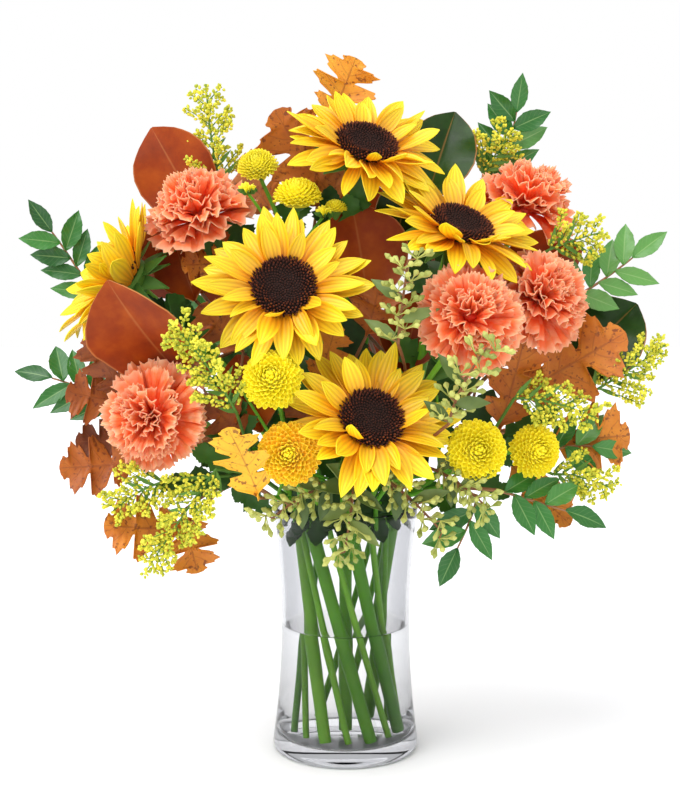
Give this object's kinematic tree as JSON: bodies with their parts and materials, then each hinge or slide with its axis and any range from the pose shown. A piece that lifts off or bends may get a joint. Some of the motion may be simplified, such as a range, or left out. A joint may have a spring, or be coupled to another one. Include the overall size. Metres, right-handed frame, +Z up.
{
  "type": "bouquet in a vase",
  "caption": "Autumn bouquet of sunflowers, carnations, button chrysanthemums, goldenrod and leafy sprays standing in a clear waisted glass vase of water.",
  "frame": {"origin": "centre of the vase's flat underside", "axes": "+Z up, +X to the right of the bouquet's front, +Y towards its back"},
  "size_m": [0.5376, 0.2736, 0.5671],
  "materials": {
    "glass": "gloss",
    "water": "gloss",
    "stem": "satin",
    "pom_floret": "matte",
    "sunflower_disc": "matte",
    "carnation_petal": "matte",
    "sunflower_petal": "satin",
    "magnolia_leaf": "satin",
    "oak_leaf": "satin",
    "huckleberry_leaf": "satin",
    "goldenrod": "matte",
    "eucalyptus_capsule": "matte"
  },
  "bodies": {
    "root": {"vase": "glass", "water": "water", "sunflower_top_stem": "stem", "sunflower_right_stem": "stem", "sunflower_middle_stem": "stem", "sunflower_low_stem": "stem", "sunflower_left_stem": "stem", "carnation_1_stem": "stem", "carnation_2_stem": "stem", "carnation_3_stem": "stem", "carnation_4_stem": "stem", "carnation_5_stem": "stem", "pom_spray_top_stem": "stem", "pom_spray_middle_stem": "stem", "pom_spray_right_stem": "stem", "pom_1": "pom_floret", "pom_2": "pom_floret", "pom_3": "pom_floret", "pom_4": "pom_floret", "pom_5": "pom_floret", "pom_6": "pom_floret", "pom_7": "pom_floret", "sunflower_top_disc": "sunflower_disc", "sunflower_right_disc": "sunflower_disc", "sunflower_middle_disc": "sunflower_disc", "sunflower_low_disc": "sunflower_disc", "sunflower_left_disc": "sunflower_disc", "carnation_1_bloom": "carnation_petal", "carnation_2_bloom": "carnation_petal", "carnation_3_bloom": "carnation_petal", "carnation_4_bloom": "carnation_petal", "carnation_5_bloom": "carnation_petal", "sunflower_top_rays": "sunflower_petal", "sunflower_right_rays": "sunflower_petal", "sunflower_middle_rays": "sunflower_petal", "sunflower_low_rays": "sunflower_petal", "sunflower_left_rays": "sunflower_petal", "magnolia_left": "magnolia_leaf", "magnolia_middle": "magnolia_leaf", "magnolia_right": "magnolia_leaf", "oak_left": "oak_leaf", "oak_front": "oak_leaf", "oak_top": "oak_leaf", "oak_centre": "oak_leaf", "oak_right": "oak_leaf", "huckleberry_left": "huckleberry_leaf", "huckleberry_top": "huckleberry_leaf", "huckleberry_right": "huckleberry_leaf", "huckleberry_front": "huckleberry_leaf", "huckleberry_back": "huckleberry_leaf", "goldenrod_top": "goldenrod", "goldenrod_left": "goldenrod", "goldenrod_back": "goldenrod", "goldenrod_right": "goldenrod", "eucalyptus_front": "eucalyptus_capsule", "eucalyptus_right": "eucalyptus_capsule"}
  },
  "joints": []
}
